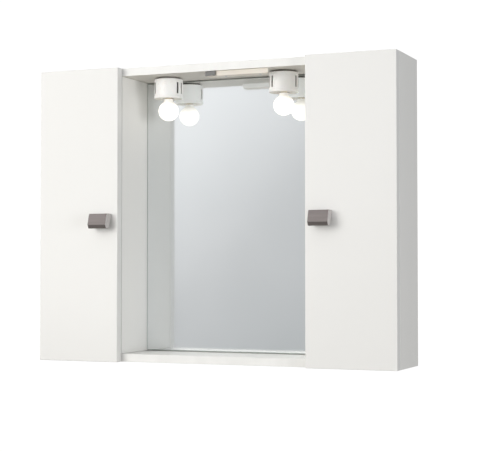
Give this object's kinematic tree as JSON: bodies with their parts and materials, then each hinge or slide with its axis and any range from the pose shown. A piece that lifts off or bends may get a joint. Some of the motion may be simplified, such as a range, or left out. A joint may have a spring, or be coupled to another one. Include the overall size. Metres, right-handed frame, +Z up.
{
  "type": "medicine cabinet with mirror",
  "caption": "Wall-hung white bathroom cabinet: a mirror-backed open niche with bulb lamps between narrow side cupboards with hinged doors and small nickel pulls.",
  "frame": {"origin": "centre of the cabinet's back, on the rear face of the niche's back board, in the wall plane", "axes": "+Z up, +Y into the wall, so the front faces -Y; +X to the right seen from the front"},
  "size_m": [0.77, 0.1708, 0.6],
  "materials": {
    "melamine_board": "white melamine faced board, satin",
    "door_lacquer": "smooth white lacquer, soft gloss",
    "hardboard": "white painted hardboard, matt",
    "mirror": "silvered float glass",
    "satin_nickel": "satin nickel plating",
    "nickel_steel": "bright nickel plated pressed steel",
    "zinc_steel": "zinc plated steel",
    "hanger_plastic": "white moulded plastic",
    "lamp_plastic": "white moulded plastic, satin gloss",
    "lamp_insulator": "off-white heat resistant plastic",
    "bulb_brass": "bright brass",
    "opal_glass": "opal white glass, lit from inside",
    "ivory_plastic": "ivory moulded plastic",
    "rocker_plastic": "dark grey moulded plastic",
    "lead_sheath": "white flexible cable sheath"
  },
  "bodies": {
    "carcass": {"left_outer_side": "melamine_board", "left_inner_side": "melamine_board", "left_lower_shelf": "melamine_board", "left_upper_shelf": "melamine_board", "left_back_panel": "hardboard", "left_hanger_housing": "hanger_plastic", "left_hanger_hook": "zinc_steel", "left_lower_hinge_plate": "nickel_steel", "left_lower_hinge_arm": "nickel_steel", "left_lower_hinge_arm_pin": "nickel_steel", "left_upper_hinge_plate": "nickel_steel", "left_upper_hinge_arm": "nickel_steel", "left_upper_hinge_arm_pin": "nickel_steel", "left_lamp_base": "lamp_plastic", "left_lamp_housing": "lamp_plastic", "left_bulb_socket": "lamp_insulator", "left_bulb_cap": "bulb_brass", "left_bulb_globe": "opal_glass", "left_lamp_lead": "lead_sheath", "right_outer_side": "melamine_board", "right_inner_side": "melamine_board", "right_lower_shelf": "melamine_board", "right_upper_shelf": "melamine_board", "right_back_panel": "hardboard", "right_hanger_housing": "hanger_plastic", "right_hanger_hook": "zinc_steel", "right_lower_hinge_plate": "nickel_steel", "right_lower_hinge_arm": "nickel_steel", "right_lower_hinge_arm_pin": "nickel_steel", "right_upper_hinge_plate": "nickel_steel", "right_upper_hinge_arm": "nickel_steel", "right_upper_hinge_arm_pin": "nickel_steel", "right_lamp_base": "lamp_plastic", "right_lamp_housing": "lamp_plastic", "right_bulb_socket": "lamp_insulator", "right_bulb_cap": "bulb_brass", "right_bulb_globe": "opal_glass", "right_lamp_lead": "lead_sheath", "top_board": "melamine_board", "bottom_board": "melamine_board", "niche_back": "hardboard", "mirror_glass": "mirror", "switch_box": "ivory_plastic"},
    "left_hinge_links": {"left_lower_hinge_link": "nickel_steel", "left_upper_hinge_link": "nickel_steel"},
    "left_door_leaf": {"left_door": "door_lacquer", "left_handle": "satin_nickel", "left_lower_hinge_cup": "nickel_steel", "left_lower_hinge_cup_pin": "nickel_steel", "left_upper_hinge_cup": "nickel_steel", "left_upper_hinge_cup_pin": "nickel_steel"},
    "right_hinge_links": {"right_lower_hinge_link": "nickel_steel", "right_upper_hinge_link": "nickel_steel"},
    "right_door_leaf": {"right_door": "door_lacquer", "right_handle": "satin_nickel", "right_lower_hinge_cup": "nickel_steel", "right_lower_hinge_cup_pin": "nickel_steel", "right_upper_hinge_cup": "nickel_steel", "right_upper_hinge_cup_pin": "nickel_steel"},
    "rocker": {"switch_rocker": "rocker_plastic"}
  },
  "joints": [
    {"name": "left_door_hinge", "type": "hinge", "parent": "left_hinge_links", "child": "left_door_leaf", "pos_m": [-0.374, -0.131, 0], "axis": [0, 0, -1], "range_deg": [0, 142]},
    {"name": "left_link_hinge", "type": "hinge", "parent": "carcass", "child": "left_hinge_links", "pos_m": [-0.354, -0.121, 0], "axis": [0, 0, 1], "range_deg": [0, 42]},
    {"name": "right_door_hinge", "type": "hinge", "parent": "right_hinge_links", "child": "right_door_leaf", "pos_m": [0.374, -0.131, 0], "axis": [0, 0, 1], "range_deg": [0, 142]},
    {"name": "right_link_hinge", "type": "hinge", "parent": "carcass", "child": "right_hinge_links", "pos_m": [0.354, -0.121, 0], "axis": [0, 0, -1], "range_deg": [0, 42]},
    {"name": "switch_rocker_tilt", "type": "hinge", "parent": "carcass", "child": "rocker", "pos_m": [-0.0053, -0.116, 0.28], "axis": [0, 0, 1], "range_deg": [0, 10]}
  ],
  "couplings": [
    {"joint": "left_link_hinge", "follows": "left_door_hinge", "ratio": 0.2957},
    {"joint": "right_link_hinge", "follows": "right_door_hinge", "ratio": 0.2957}
  ]
}
